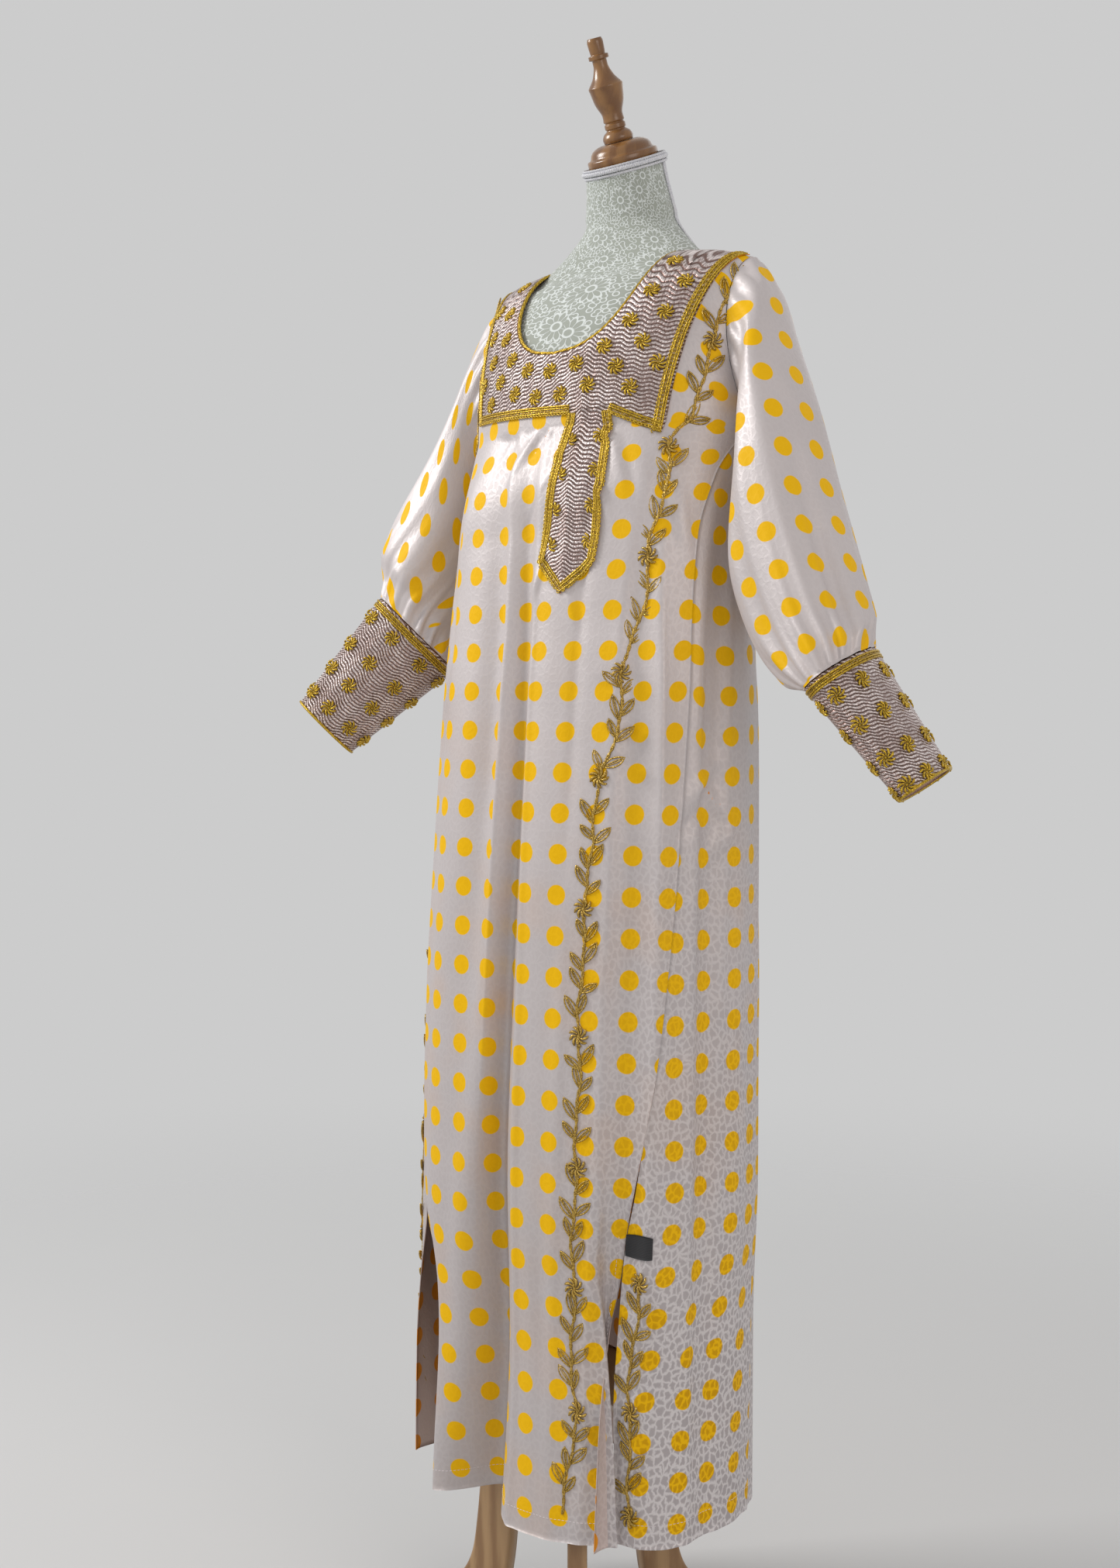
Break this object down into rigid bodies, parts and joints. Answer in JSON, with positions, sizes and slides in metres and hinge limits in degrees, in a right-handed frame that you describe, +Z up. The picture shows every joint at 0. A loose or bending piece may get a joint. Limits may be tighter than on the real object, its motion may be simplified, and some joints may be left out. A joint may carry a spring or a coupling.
{
  "type": "long thobe robe on a limbless dress form with a three-legged wooden stand",
  "caption": "Long satin robe with an embroidered yoke, tab and cuffs, open side slits, worn on a limbless dress form with a wooden stand.",
  "frame": {"origin": "middle of the bounding box, on the floor under the stand's feet", "axes": "+Z up, the front faces -Y, the wearer's left is +X"},
  "size_m": [0.849, 0.3868, 1.8872],
  "materials": {
    "cloth": "soft satin jacquard with metallic dots",
    "embroidery": "silver and gold metallic thread embroidery",
    "piping": "gold thread",
    "label": "matt",
    "lace": "lace over a padded dress form",
    "braid": "woven braid",
    "wood": "clear varnish"
  },
  "bodies": {
    "root": {"back_panel": "cloth", "cap_disc": "wood", "cuff_left": "embroidery", "cuff_right": "embroidery", "finial": "wood", "form_torso": "lace", "front_panel": "cloth", "hub": "wood", "label": "label", "leg_back": "wood", "leg_front": "wood", "leg_side": "wood", "neck_braid": "braid", "neck_piping": "piping", "pole": "wood", "sleeve_left": "cloth", "sleeve_right": "cloth", "yoke": "embroidery"}
  },
  "joints": []
}
